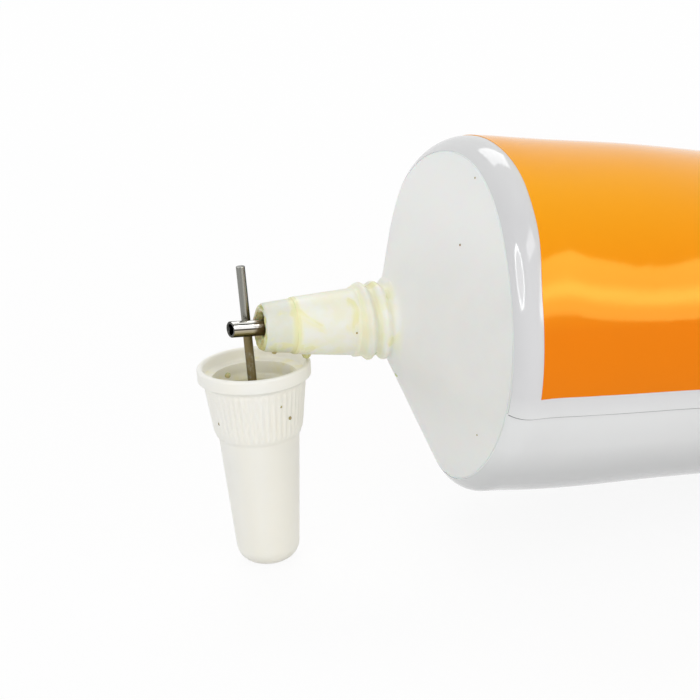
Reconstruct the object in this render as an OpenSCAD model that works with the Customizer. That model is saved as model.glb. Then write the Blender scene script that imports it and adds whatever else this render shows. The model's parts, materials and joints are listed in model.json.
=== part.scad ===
// Glue tube lying on the edge of its tail, its needle nozzle propped over the cap that has been taken off.
// The tube has its own axis, with z towards the nozzle and z = 0 at the seam where the sleeve meets the shoulder.
// The cap has its own axis, with z = 0 at the foot of its crown and z = cap_len at its mouth.

/* [Sleeve] */
// Diameter of the sleeve where it is still round
tube_d = 38; // [34:0.5:44]
// Length of the sleeve from the shoulder seam to the trimmed tail
sleeve_len = 152; // [130:1:175]
// Wall of the laminate
sleeve_wall = 0.5; // [0.35:0.05:0.7]
// Length of the flat heat seal at the tail
seal_len = 8; // [5:0.5:12]
// Thickness of the pressed heat seal
seal_t = 1.1; // [0.9:0.05:1.5]
// Radius of the sleeve's roll over the shoulder's edge
roll_r = 2.8; // [2.2:0.1:4]
// How long the tube stays full before it tapers to the tail
fullness = 1.55; // [1.3:0.05:2]
// Angle by which the filled sleeve sags behind the shoulder
sag_angle = 4.5; // [0:0.1:6]
// Length over which it bends
sag_len = 5; // [3:1:50]
// Height by which the sleeve arches between the shoulder and the tail, so that it stands on its tail's edge
arch_h = 0.8; // [0.5:0.1:1.5]
// Step where the sleeve laps over itself
lap_step = 0.25; // [0.1:0.05:0.4]
// Angle of the lap edge below the tube's side
lap_angle = 15; // [0:1:40]

/* [Label] */
// Thickness of the printed film
label_t = 0.1; // [0.06:0.02:0.2]
// Bare margin between the roll and the printed film
label_front_gap = 0.3; // [0.1:0.1:3]
// Bare margin between the printed film and the tail seal
label_tail_gap = 12; // [6:1:25]
// Facets of the sleeve that the printed film covers
label_facets = 29; // [16:1:40]

/* [Shoulder] */
// Slope of the cone from the plane of the seam
cone_angle = 27.5; // [22:0.5:36]
// Wall of the cone
shoulder_wall = 1.4; // [1:0.1:2]
// Length of the skirt that the sleeve is bonded to
skirt_len = 4; // [3:0.5:10]
// Clearance between the sleeve and the shoulder
bond_gap = 0.1; // [0.08:0.01:0.2]

/* [Neck and nozzle] */
// Length of the neck and nozzle from the cone to the tip
nozzle_len = 13.8; // [11:0.2:17]
// Diameter of the neck at the root of its thread
neck_d = 7.4; // [6.8:0.1:8]
// Height of the thread's ridge
thread_h = 0.45; // [0.3:0.05:0.6]
// Pitch of the thread
thread_pitch = 1.6; // [1.2:0.05:1.8]
// Turns of the thread
thread_turns = 2.5; // [1.5:0.25:2.75]
// Diameter of the nozzle just past the thread
barrel_d = 7; // [6.4:0.1:7.2]
// Diameter of the nozzle at its tip
tip_d = 5.1; // [4.8:0.1:5.8]
// Length of the narrower tip
tip_len = 3.2; // [2:0.1:4.5]
// Step between the barrel and the tip
tip_step = 0.12; // [0.05:0.01:0.2]
// Depth of the open mouth around the needle
mouth_depth = 1.4; // [0.8:0.1:2]

/* [Needle] */
// Outer diameter of the needle
needle_d = 1.7; // [1.4:0.05:1.9]
// Bore of the needle
needle_bore = 1.15; // [0.8:0.05:1.2]
// Length of the needle outside the nozzle
needle_out = 3; // [2:0.1:4]
// Diameter of the hub that holds the needle
hub_d = 3.6; // [3:0.1:3.8]
// Length of the hub
hub_len = 5.5; // [4:0.1:6]

/* [Cap] */
// Wall of the cap around the thread and the nozzle
cap_wall = 0.8; // [0.6:0.05:1.1]
// Clearance between the cap and the neck and nozzle when it is screwed on
cap_gap = 0.3; // [0.2:0.05:0.4]
// Diameter of the smooth mouth
mouth_d = 10.7; // [10.2:0.1:11.4]
// Depth of the smooth mouth
mouth_len = 1; // [0.6:0.1:1.2]
// Width of the lip around the mouth
lip_w = 0.65; // [0.5:0.05:0.9]
// Height of the rim
rim_h = 1.7; // [1.4:0.1:2.2]
// Depth of the ribbed grip's lower end below the mouth
grip_depth = 7.8; // [6:0.1:8.5]
// Ribs around the grip
grip_ribs = 48; // [36:1:60]
// Height of a rib
rib_h = 0.15; // [0.1:0.01:0.25]
// Diameter of the crown above its rounded edge
crown_d = 6.8; // [6.2:0.1:7.6]
// Radius of the crown's rounded edge
crown_r = 2; // [1:0.1:2.2]
// Solid length under the pin
crown_t = 2; // [1:0.1:3]

/* [Pin] */
// Diameter of the pin
pin_d = 0.95; // [0.7:0.05:1]
// Length of the pin that stands out of the mouth
pin_out = 10.6; // [6:0.2:14]
// Length of the pin held in the crown
pin_seat = 2.9; // [2:0.1:4]
// Clearance around the pin in the crown
pin_gap = 0.04; // [0.02:0.01:0.08]
// Clearance between the end of the needle and the crown when the cap is screwed on
needle_room = 0.6; // [0.3:0.1:1]

/* [Resting place] */
// Distance of the pin in front of the nozzle's tip
pin_ahead = 0.8; // [0.7:0.1:2]
// Clearance between the needle and the pin that passes behind it
pass_gap = 0.2; // [0.1:0.05:0.6]
// Clearance between the nozzle and the cap's rim
rest_gap = 0.6; // [0.1:0.05:0.8]

/* [Hidden] */
$fn = 96;

// Sleeve
tube_r = tube_d / 2;
roll_len = roll_r * cos(cone_angle);
seam_r = tube_r - roll_r * (1 - sin(cone_angle));
flat_end = sleeve_len - seal_len;
seal_ramp = 3 * seal_t;
cavity_end = flat_end - seal_ramp;
facets = 48;
lap_slope = 0.3;
lap_fade = 6;
flat_sharpness = 5;
flat_onset = 10;
perimeter_power = ln(2) / ln(PI / 2);
roll_steps = 5;
body_rows = 14;

// Label
label_start = roll_len + label_front_gap;
label_end = flat_end - label_tail_gap;
label_first = 1;

// Shoulder and nozzle
cone_top_r = neck_d / 2 + thread_h;
cone_h = (seam_r - cone_top_r) * tan(cone_angle);
cone_drop = shoulder_wall / cos(cone_angle);
skirt_r = tube_r - sleeve_wall - bond_gap;
skirt_bore_r = skirt_r - shoulder_wall;
edge_r = roll_r - sleeve_wall - bond_gap;
seam_gap = 0.12;
thread_len = thread_pitch * thread_turns;
tip_z = cone_h + nozzle_len;
tip_round = 0.4;
step_z = tip_z - tip_len;
thread_z = cone_h + thread_len;
hub_top = tip_z - mouth_depth;
hub_bottom = hub_top - hub_len;
needle_len = tip_z + needle_out - hub_bottom;
hub_ledge = 0.35;
neck_wall = 1.3;
neck_bore_r = neck_d / 2 - neck_wall;
throat_r = hub_d / 2 - hub_ledge;
thread_base = 0.5;
thread_crest = 0.2;
thread_root = 0.15;
thread_steps = 24;
fill_gap = 0.3;
round_end = skirt_len + fill_gap;
run_out = 0.4;
cut_over = 1;

// Cap
closed_depth = nozzle_len + needle_out + needle_room;
cap_len = closed_depth + pin_seat + crown_t;
rim_r = mouth_d / 2 + lip_w;
thread_bore_r = neck_d / 2 + thread_h + cap_gap;
grip_top_r = thread_bore_r + cap_wall;
barrel_bore_r = barrel_d / 2 + cap_gap;
body_thinning = 0.3;
body_top_r = barrel_bore_r + cap_wall - body_thinning;
grip_step = 0.2;
grip_low_r = body_top_r + grip_step;
tip_bore_r = tip_d / 2 + cap_gap;
chamber_r = needle_d / 2 + 2 * cap_gap;
pin_bore_r = pin_d / 2 + pin_gap;
cap_thread_depth = thread_len + cap_gap;
cap_thread_turns = 1;
rib_w = 0.28;
rib_inset = 0.4;
grip_bevel = 0.2;
bore_bevel = 0.3;
crown_steps = 5;
crown_sweep = 85;
lip_steps = 4;

// Resting pose
pin_z = tip_z + pin_ahead;
cap_y = needle_d / 2 + pin_d / 2 + pass_gap;
pitch_limit = 25;
pitch_rounds = 30;
pitch = resting_pitch(0, pitch_limit, pitch_rounds);
seam_z = seam_height(pitch);
cap_from_seam = -pin_z * cos(pitch);
left_reach = cap_from_seam - rim_r;
right_reach = sleeve_len * cos(pitch) + (seal_t / 2 - sag(sleeve_len)) * sin(pitch);
seam_x = -(left_reach + right_reach) / 2;
cap_x = seam_x + cap_from_seam;

// Radius of the nozzle's outside between the thread and the step
function barrel_r(z) = barrel_d / 2 + (barrel_end_r() - barrel_d / 2) * (z - thread_z) / (step_z - thread_z);
function barrel_end_r() = tip_base_r() + tip_step;
function tip_base_r() = tip_d / 2 + tip_len * (barrel_d - tip_d) / 2 / (tip_z - thread_z);

// Height of the seam's middle when the nozzle lies over the near edge of the cap's rim
function seam_height(p) = let (z = pin_z - rim_r / cos(p) - barrel_r(step_z) * tan(p))
    cap_len + rest_gap + barrel_r(min(z, step_z)) * cos(p) - z * sin(p);

// Height of the tube's lowest point above the table, on its belly or on its tail
function lowest(p) =
    min([for (s = body_stations()) seam_height(p) - s * sin(p) - (half_height(s) + sag(s)) * cos(p)]);

// The tube tips back until its belly or its tail meets the table
function resting_pitch(low, high, n) = n < 1 ? low : let (mid = (low + high) / 2)
    lowest(mid) > 0 ? resting_pitch(mid, high, n - 1) : resting_pitch(low, mid, n - 1);

// Cross-sections of the sleeve at a distance s behind the seam
function behind(s) = max(0, s - round_end);
function taper(s) = min(1, behind(s) / (flat_end - round_end));
function half_height(s) = tube_r - (tube_r - seal_t / 2) * pow(taper(s), fullness);
function half_width(s) =
    pow(pow(PI * tube_r / 2, perimeter_power) - pow(half_height(s), perimeter_power), 1 / perimeter_power);
function sag(s) = let (b = behind(s))
    tan(sag_angle) * (b < sag_len ? b * b / sag_len / 2 : b - sag_len / 2) - arch_h * pow(sin(180 * taper(s)), 2);
function flatness(s) = 1 + flat_sharpness * pow(taper(s), flat_onset);
function angle_at(i) = -90 - lap_angle + (360 - lap_slope) * i / facets;
function lap_lift(i, s) = lap_step * max(0, 1 - i / lap_fade) * (1 - taper(s));
function section_point(s, i, grow) =
    [(half_height(s) + grow) * max(-1, min(1, flatness(s) * cos(angle_at(i)))) - sag(s),
     (half_width(s) + grow) * sin(angle_at(i)), -s];
function round_point(s, r, i) = [r * cos(angle_at(i)), r * sin(angle_at(i)), -s];
function body_stations() = concat(
    [label_start],
    [for (row = [0 : body_rows]) round_end + (label_end - round_end) * row / body_rows],
    [(label_end + cavity_end) / 2, cavity_end, flat_end, sleeve_len]);
function body_ring(s, grow, lift) = [for (i = [0 : facets]) section_point(s, i, grow + lift * lap_lift(i, s))];
function roll_ring(turn, r, lift) = let (s = roll_len - r * sin(turn))
    [for (i = [0 : facets]) round_point(s, tube_r - roll_r + r * cos(turn) + lift * lap_lift(i, s), i)];
function roll_turns() = [for (step = [roll_steps : -1 : 0]) (90 - cone_angle) * step / roll_steps];
function inner_stations() = [for (s = body_stations()) if (s <= cavity_end) s];

// Closed skin over rings of points that all have the same count
module skin(rings) {
    n = len(rings[0]);
    last = len(rings) - 1;
    points = concat([for (ring = rings) each ring], [middle(rings[0]), middle(rings[last])]);
    walls = [for (j = [0 : last - 1], i = [0 : n - 1]) let (k = (i + 1) % n, a = j * n, b = a + n)
        each [[a + i, a + k, b + k], [a + i, b + k, b + i]]];
    first_cap = [for (i = [0 : n - 1]) [(i + 1) % n, i, n * (last + 1)]];
    last_cap = [for (i = [0 : n - 1]) [n * last + i, n * last + (i + 1) % n, n * (last + 1) + 1]];
    polyhedron(points, concat(walls, first_cap, last_cap));
}

function middle(ring) = [for (c = [0 : 2]) sum([for (p = ring) p[c]]) / len(ring)];
function sum(values, i = 0) = i == len(values) ? 0 : values[i] + sum(values, i + 1);

// Closed film between two grids of points, rows from front to tail
module film(top, bottom) {
    rows = len(top);
    n = len(top[0]);
    half = rows * n;
    points = concat([for (row = top) each row], [for (row = bottom) each row]);
    faces = [for (j = [0 : rows - 2], i = [0 : n - 2]) let (a = j * n + i, b = a + n)
        each [[a, a + 1, b + 1], [a, b + 1, b],
              [half + a, half + b + 1, half + a + 1], [half + a, half + b, half + b + 1]]];
    ends = [for (i = [0 : n - 2]) let (a = i, b = (rows - 1) * n + i)
        each [[a, half + a, a + 1], [a + 1, half + a, half + a + 1],
              [b, b + 1, half + b], [b + 1, half + b + 1, half + b]]];
    sides = [for (j = [0 : rows - 2]) let (a = j * n, b = a + n, c = a + n - 1, d = b + n - 1)
        each [[a, b, half + a], [b, half + b, half + a],
              [c, half + c, d], [d, half + c, half + d]]];
    polyhedron(points, concat(faces, ends, sides));
}

// Helical ridge from base_r to crest_r, which fades out of the wall at both ends
module helix(base_r, wall_r, crest_r, turns) {
    steps = round(thread_steps * turns);
    fade = thread_steps / 4;
    section = [[0, -thread_base], [1, -thread_crest], [1, thread_crest], [0, thread_base]];
    skin([for (k = [0 : steps]) let (
            turn = 360 * k / thread_steps,
            z = thread_pitch * k / thread_steps,
            tall = min(1, (k + 1) / fade, (steps - k + 1) / fade),
            top_r = wall_r + (crest_r - wall_r) * tall)
        [for (c = [0 : 3]) let (corner = section[crest_r > wall_r ? c : 3 - c], r = corner[0] == 1 ? top_r : base_r)
            [r * cos(turn), r * sin(turn), z + corner[1]]]]);
}

module at_tube() {
    translate([seam_x, 0, seam_z]) rotate([0, pitch - 90, 0]) children();
}

module at_cap() {
    translate([cap_x, cap_y, 0]) children();
}

// Laminate sleeve, open at the shoulder and pressed flat at the tail
module sleeve() {
    inner = [for (k = [len(inner_stations()) - 1 : -1 : 0]) body_ring(inner_stations()[k], -sleeve_wall, 0)];
    inner_roll = [for (k = [roll_steps : -1 : 0]) roll_ring(roll_turns()[k], roll_r - sleeve_wall, 0)];
    outer_roll = [for (turn = roll_turns()) roll_ring(turn, roll_r, 1)];
    outer = [for (s = body_stations()) body_ring(s, 0, 1)];
    color("white") at_tube() skin(concat(inner, inner_roll, outer_roll, outer));
}

// Printed film that lies on the sleeve's own facets
module label() {
    rows = [for (s = body_stations()) if (s <= label_end) s];
    span = [label_first : label_first + label_facets];
    top = [for (s = rows) [for (i = span) section_point(s, i, label_t + lap_lift(i, s))]];
    bottom = [for (s = rows) [for (i = span) section_point(s, i, lap_lift(i, s))]];
    color("orange") at_tube() film(top, bottom);
}

// Cone, threaded neck and tapered nozzle in one moulding
module shoulder() {
    cone_edge_r = seam_r - seam_gap * cos(cone_angle);
    cone_edge_z = seam_gap * sin(cone_angle);
    rebate = sleeve_wall + bond_gap;
    under_r = tube_r - roll_r;
    inner_z = function (r) (seam_r - r) * tan(cone_angle) - cone_drop;
    color("whitesmoke") at_tube() union() {
        rotate_extrude() polygon(concat(
            [[hub_d / 2, hub_bottom], [hub_d / 2, tip_z], [tip_d / 2 - tip_round, tip_z],
             [tip_d / 2, tip_z - tip_round], [tip_base_r(), step_z], [barrel_end_r(), step_z],
             [barrel_d / 2, thread_z], [neck_d / 2, thread_z], [neck_d / 2, cone_h], [cone_top_r, cone_h],
             [cone_edge_r, cone_edge_z],
             [cone_edge_r - rebate * sin(cone_angle), cone_edge_z - rebate * cos(cone_angle)]],
            [for (turn = roll_turns()) [under_r + edge_r * cos(turn), edge_r * sin(turn) - roll_len]],
            [[skirt_r, -skirt_len], [skirt_bore_r, -skirt_len], [skirt_bore_r, inner_z(skirt_bore_r)],
             [neck_bore_r, inner_z(neck_bore_r)], [throat_r, hub_bottom]]));
        translate([0, 0, cone_h])
            helix(neck_d / 2 - thread_root, neck_d / 2, neck_d / 2 + thread_h, thread_turns - run_out);
    }
}

// Plug in the nozzle's end that holds the needle
module needle_hub() {
    color("ivory") at_tube() difference() {
        translate([0, 0, hub_bottom]) cylinder(d = hub_d, h = hub_len);
        translate([0, 0, hub_bottom - cut_over]) cylinder(d = needle_d, h = hub_len + 2 * cut_over);
    }
}

// Steel capillary through which the glue comes out
module needle() {
    color("silver") at_tube() difference() {
        translate([0, 0, hub_bottom]) cylinder(d = needle_d, h = needle_len);
        translate([0, 0, hub_bottom - cut_over]) cylinder(d = needle_bore, h = needle_len + 2 * cut_over);
    }
}

// Glue that fills the sleeve, the cone and the neck
module adhesive_fill() {
    front_r = skirt_bore_r - fill_gap;
    cone_back = cone_drop + fill_gap / cos(cone_angle);
    cone_s = function (r) cone_back - (seam_r - r) * tan(cone_angle);
    round_ring = function (s, r) [for (i = [0 : facets]) round_point(s, r, i)];
    color("wheat") at_tube() skin(concat(
        [round_ring(fill_gap - hub_bottom, throat_r - fill_gap),
         round_ring(cone_s(neck_bore_r - fill_gap), neck_bore_r - fill_gap),
         round_ring(cone_s(front_r), front_r),
         round_ring(skirt_len + fill_gap, front_r)],
        [for (s = inner_stations()) if (s > skirt_len + 2 * fill_gap && s < cavity_end)
            body_ring(s, -sleeve_wall - fill_gap, 0)]));
}

// Screw cap with a rim, a ribbed grip and a pin seat in its crown
module cap_shell() {
    grip_z = cap_len - grip_depth;
    rim_z = cap_len - rim_h;
    grip_tilt = atan((grip_top_r - grip_low_r) / (rim_z - grip_z));
    crown_points = [for (step = [0 : crown_steps]) let (turn = -90 + crown_sweep * step / crown_steps)
        [crown_d / 2 - crown_r + crown_r * cos(turn), crown_r + crown_r * sin(turn)]];
    lip_points = [for (step = [0 : lip_steps]) let (turn = 180 * step / lip_steps)
        [rim_r - lip_w / 2 + lip_w / 2 * cos(turn), cap_len - lip_w / 2 + lip_w / 2 * sin(turn)]];
    at_cap() color("whitesmoke") union() {
        rotate_extrude() polygon(concat(
            [[0, 0]], crown_points,
            [[body_top_r, grip_z], [grip_low_r, grip_z + grip_bevel],
             [grip_top_r, rim_z - grip_bevel], [rim_r, rim_z + bore_bevel]],
            lip_points,
            [[mouth_d / 2, cap_len - mouth_len], [thread_bore_r, cap_len - mouth_len - bore_bevel],
             [thread_bore_r, cap_len - cap_thread_depth], [barrel_bore_r, cap_len - cap_thread_depth - bore_bevel],
             [tip_bore_r, cap_len - nozzle_len], [chamber_r, cap_len - nozzle_len - bore_bevel],
             [chamber_r, cap_len - closed_depth], [pin_bore_r, cap_len - closed_depth],
             [pin_bore_r, crown_t], [0, crown_t]]));
        for (i = [0 : grip_ribs - 1]) rotate([0, 0, 360 * i / grip_ribs])
            translate([(grip_top_r + grip_low_r) / 2, 0, (grip_z + rim_z) / 2]) rotate([0, grip_tilt, 0])
                cube([2 * rib_h, rib_w, rim_z - grip_z - 2 * rib_inset], center = true);
        translate([0, 0, cap_len - cap_thread_depth + thread_base])
            helix(thread_bore_r + thread_root, thread_bore_r, thread_bore_r - thread_h, cap_thread_turns);
    }
}

// Steel wire on the cap's axis that plugs the needle
module cap_pin() {
    at_cap() color("gray") translate([0, 0, crown_t]) cylinder(d = pin_d, h = cap_len + pin_out - crown_t);
}

sleeve();
label();
shoulder();
needle_hub();
needle();
adhesive_fill();
cap_shell();
cap_pin();
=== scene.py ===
"""Looks of the glue tube: finer meshes, finishes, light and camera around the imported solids."""
import json
import math

import bmesh
import bpy
from mathutils import Matrix, Quaternion, Vector, noise


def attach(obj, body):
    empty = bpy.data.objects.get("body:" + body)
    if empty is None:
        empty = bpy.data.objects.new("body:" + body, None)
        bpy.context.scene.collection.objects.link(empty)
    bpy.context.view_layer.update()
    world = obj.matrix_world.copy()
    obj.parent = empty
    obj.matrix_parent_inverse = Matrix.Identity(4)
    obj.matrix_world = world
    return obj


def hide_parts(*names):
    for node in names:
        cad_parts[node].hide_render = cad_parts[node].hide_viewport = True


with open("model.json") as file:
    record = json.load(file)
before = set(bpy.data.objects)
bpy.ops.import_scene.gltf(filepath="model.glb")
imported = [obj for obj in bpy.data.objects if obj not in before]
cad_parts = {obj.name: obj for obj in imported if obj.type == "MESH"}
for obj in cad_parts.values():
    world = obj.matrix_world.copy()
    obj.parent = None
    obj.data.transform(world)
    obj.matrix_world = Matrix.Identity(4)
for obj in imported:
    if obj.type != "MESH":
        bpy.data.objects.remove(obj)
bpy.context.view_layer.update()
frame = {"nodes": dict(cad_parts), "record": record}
mounts = {mount["name"]: mount for mount in frame["record"]["mounts"]}

# Sleeve, in millimetres; radii closer than TOUCH count as the same, and rows keep ROW_GAP apart
MM = 0.001
TOUCH = 0.01
ROW_GAP = 0.05
TUBE_R = 19.0
SLEEVE_LEN = 152.0
SLEEVE_WALL = 0.5
SEAL_LEN = 8.0
SEAL_T = 1.1
ROLL_R = 2.8
FULLNESS = 1.55
SAG_ANGLE = math.radians(4.5)
SAG_LEN = 5.0
ARCH_H = 0.8
LAP_STEP = 0.25
LAP_ANGLE = math.radians(15)
LAP_FADE = math.radians(45)
LAP_SLOPE = math.radians(0.3)
LAP_TWIST = math.radians(3.3)
LAP_TWIST_LEN = 9.0
LABEL_FRONT_GAP = 0.3
LABEL_TAIL_GAP = 12.0
LABEL_LOW = math.radians(6.7)
LABEL_SPAN = math.radians(218.3)
LABEL_T = 0.06
FLAT_SHARPNESS = 5.0
FLAT_ONSET = 10
CRIMP_PITCH = 1.6
CRIMP_H = 0.12

# Marks of use on the filled sleeve: lean of the shoulder's edge, settling, hollows and a wavering print
EDGE_LEAN_UP = 0.14
EDGE_LEAN_FAR = 0.18
EDGE_TWIST = 0.68
EDGE_WAVE = 0.45
EDGE_REACH = 18.0
EDGE_FADE = 15.0
DROP_H = 0.3
DROP_SPAN = (2, 8, 22)
RISE_H = 0.2
RISE_SPAN = (10, 30, 60)
DENT_H = 0.2
DENT_FINE_H = 0.08
DENT_LEN = 26.0
DENT_AROUND = 2.2
DENT_FINENESS = 2.3
DENT_SHIFT = Vector((7, 3, 1))
DENT_NEAR_SHARE = 0.2
DENT_NEAR_LEN = 15.0
DENT_FAR_START = 20.0
DENT_FAR_LEN = 30.0
DENT_TAIL_LEN = 20.0
PRINT_AHEAD = 0.22
PRINT_BACK = 0.57
PRINT_BACK_FROM = math.radians(35)
PRINT_BACK_OVER = math.radians(25)
PRINT_RETURN = 0.35
PRINT_RETURN_FROM = math.radians(75)
PRINT_RETURN_OVER = math.radians(30)

# Cut edge of the laminate under the lap
FOIL_W = math.radians(0.65)
FOIL_SUNK = 0.03
FOIL_H = 0.09
FOIL_LOW_H = 0.03
FOIL_ROLL = math.radians(58)
FOIL_TAIL_GAP = 4.0

# Shoulder and nozzle
CONE_ANGLE = math.radians(27.5)
SHOULDER_WALL = 1.4
SKIRT_LEN = 4.0
BOND_GAP = 0.1
FILL_GAP = 0.3
SEAM_GAP = 0.12
SEAM_DEPTH = 0.06
SEAM_FLARE = 1.3
NOZZLE_LEN = 13.8
NECK_R = 3.7
NECK_WALL = 1.3
THREAD_H = 0.45
THREAD_PITCH = 1.6
THREAD_TURNS = 2.5
THREAD_RUN_OUT = 0.4
THREAD_BASE = 0.72
THREAD_CREST = 0.05
THREAD_FADE = 0.2
THREAD_UNDER = 0.6
THREAD_OVER = 0.3
BARREL_R = 3.5
TIP_R = 2.55
TIP_LEN = 3.2
TIP_STEP = 0.12
TIP_ROUND = 0.4
MOUTH_DEPTH = 1.4
HUB_R = 1.8
HUB_LEN = 5.5
HUB_LEDGE = 0.35
NEEDLE_R = 0.85
NEEDLE_BORE_R = 0.575
NEEDLE_OUT = 3.0
NEEDLE_SLANT = 0.25

# Cap and pin
CAP_GAP = 0.3
CAP_WALL = 0.8
BODY_THINNING = 0.3
MOUTH_R = 5.35
CAP_MOUTH_LEN = 1.0
LIP_W = 0.65
RIM_H = 1.7
GRIP_DEPTH = 7.8
GRIP_RIBS = 48
GRIP_STEP = 0.2
RIB_H = 0.15
RIB_MARGIN = 0.3
RIB_FADE = 0.5
CROWN_R = 3.4
CROWN_ROUND = 2.0
CROWN_T = 2.0
PIN_R = 0.475
PIN_OUT = 10.6
PIN_SEAT = 2.9
PIN_GAP = 0.04
PIN_LEAN = 0.021
PIN_UPRIGHT = 3.0
NEEDLE_ROOM = 0.6

# Camera that took the picture, and the picture's size in pixels
CAMERA_AT = Vector((-120.86, -168.6, 80.6)) * MM
CAMERA_AZIMUTH = math.radians(-15.9)
CAMERA_ELEVATION = math.radians(18.31)
CAMERA_ROLL = math.radians(-3.74)
CAMERA_FOCUS_PX = 1750.0
PICTURE_PX = 700
SENSOR_MM = 36.0
CAMERA_CLIP = 0.01

# Values that follow from those above
ROLL_LEN = ROLL_R * math.cos(CONE_ANGLE)
SEAM_R = TUBE_R - ROLL_R * (1 - math.sin(CONE_ANGLE))
FLAT_END = SLEEVE_LEN - SEAL_LEN
CAVITY_END = FLAT_END - 3 * SEAL_T
ROUND_END = SKIRT_LEN + FILL_GAP
LABEL_START = ROLL_LEN + LABEL_FRONT_GAP
LABEL_END = FLAT_END - LABEL_TAIL_GAP
PERIMETER_POWER = math.log(2) / math.log(math.pi / 2)
CONE_H = (SEAM_R - NECK_R - THREAD_H) * math.tan(CONE_ANGLE)
THREAD_LEN = THREAD_PITCH * THREAD_TURNS
THREAD_Z = CONE_H + THREAD_LEN
TIP_Z = CONE_H + NOZZLE_LEN
STEP_Z = TIP_Z - TIP_LEN
TIP_BASE_R = TIP_R + TIP_LEN * (BARREL_R - TIP_R) / (TIP_Z - THREAD_Z)
HUB_TOP = TIP_Z - MOUTH_DEPTH
HUB_BOTTOM = HUB_TOP - HUB_LEN
NEEDLE_END = TIP_Z + NEEDLE_OUT
CLOSED_DEPTH = NOZZLE_LEN + NEEDLE_OUT + NEEDLE_ROOM
CAP_LEN = CLOSED_DEPTH + PIN_SEAT + CROWN_T
RIM_R = MOUTH_R + LIP_W
THREAD_BORE_R = NECK_R + THREAD_H + CAP_GAP
GRIP_TOP_R = THREAD_BORE_R + CAP_WALL
BARREL_BORE_R = BARREL_R + CAP_GAP
BODY_TOP_R = BARREL_BORE_R + CAP_WALL - BODY_THINNING
GRIP_LOW_R = BODY_TOP_R + GRIP_STEP
GRIP_Z = CAP_LEN - GRIP_DEPTH
RIM_Z = CAP_LEN - RIM_H
PIN_TOP = CAP_LEN + PIN_OUT

# Places: on the tube's axes x is up, y away from the viewer and z towards the nozzle, from the seam
neck = mounts["neck_thread"]
out = Vector(neck["axis"]).normalized()
side = Vector((0, 1, 0))
up = side.cross(out)
seam = Vector(neck["pos_m"]) - out * (CONE_H + THREAD_LEN / 2) * MM
at_tube = Matrix((up, side, out)).transposed().to_4x4()
at_tube.translation = seam
at_cap = Matrix.Translation(mounts["cap_foot"]["pos_m"])


# Mesh helpers
def smooth(t):
    """A soft step from 0 to 1."""
    t = min(1.0, max(0.0, t))
    return t * t * (3 - 2 * t)


def spread(a, b, count):
    """Even values from a to b."""
    return [a + (b - a) * k / count for k in range(count + 1)]


def bend(start, corner, end, count=6):
    """Points of a curve that leaves start towards corner and comes into end from it."""
    return [tuple((1 - t) ** 2 * a + 2 * t * (1 - t) * b + t * t * c
                  for a, b, c in zip(start, corner, end)) for t in spread(0, 1, count)]


def ring_faces(rows, count, closed=False):
    """Quads between rings of points that follow one another."""
    faces = []
    for j in range(rows if closed else rows - 1):
        a, b = j * count, (j + 1) % rows * count
        faces += [(a + i, a + (i + 1) % count, b + (i + 1) % count, b + i) for i in range(count)]
    return faces


def piece(name, points, faces, place, body, finish, replaced=(), sharp=35):
    """A mesh piece from points in millimetres, which rides on a body and stands for solids."""
    mesh = bpy.data.meshes.new(name)
    mesh.from_pydata([place @ (Vector(p) * MM) for p in points], [], faces)
    build = bmesh.new()
    build.from_mesh(mesh)
    bmesh.ops.remove_doubles(build, verts=build.verts, dist=1e-8)
    bmesh.ops.recalc_face_normals(build, faces=build.faces)
    build.to_mesh(mesh)
    build.free()
    mesh.shade_smooth()
    mesh.set_sharp_from_angle(angle=math.radians(sharp))
    mesh.materials.append(finish)
    thing = bpy.data.objects.new(name, mesh)
    bpy.context.scene.collection.objects.link(thing)
    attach(thing, body)
    if replaced:
        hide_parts(*replaced)


def lathe(profile, count, relief=None, closed=False):
    """Points and faces of a (radius, height) profile turned about z, with an optional relief."""
    points = []
    for r, z in profile:
        for i in range(count):
            angle = 2 * math.pi * i / count
            grown = r + relief(angle, r, z) if relief else r
            points.append((grown * math.cos(angle), grown * math.sin(angle), z))
    return points, ring_faces(len(profile), count, closed)


# Node helpers
def add(tree, kind, inputs=None, **settings):
    """A node with its settings, and with values or other nodes' outputs on its inputs."""
    made = tree.nodes.new(kind)
    for key, value in settings.items():
        setattr(made, key, value)
    for key, value in (inputs or {}).items():
        if isinstance(value, bpy.types.NodeSocket):
            tree.links.new(value, made.inputs[key])
        else:
            made.inputs[key].default_value = value
    return made


def new_finish(name, place, **sockets):
    """A material, its tree, its shader with plain values set, and coordinates on its part's own axes."""
    made = bpy.data.materials.new(name)
    made.use_nodes = True
    tree = made.node_tree
    shader = tree.nodes["Principled BSDF"]
    for key, value in sockets.items():
        shader.inputs[key.replace("_", " ")].default_value = value
    coords = add(tree, "ShaderNodeTexCoord").outputs["Object"]
    where = add(tree, "ShaderNodeMapping",
                {"Vector": coords, "Location": place.translation, "Rotation": place.to_euler()},
                vector_type="TEXTURE")
    return made, tree, shader, where.outputs["Vector"]


def stretched(tree, where, scale):
    """Coordinates scaled along each axis."""
    return add(tree, "ShaderNodeMapping", {"Vector": where, "Scale": scale}).outputs["Vector"]


def speckle(tree, where, scale, detail=3.0, rough=0.5, twist=0.0):
    """Noise around 0.5, with a scale per metre."""
    made = add(tree, "ShaderNodeTexNoise", {"Vector": where, "Scale": scale, "Detail": detail,
                                            "Roughness": rough, "Distortion": twist})
    return made.outputs["Fac"]


def calc(tree, operation, a, b=0.0, clamp=False):
    made = add(tree, "ShaderNodeMath", {0: a, 1: b}, operation=operation, use_clamp=clamp)
    return made.outputs["Value"]


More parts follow.
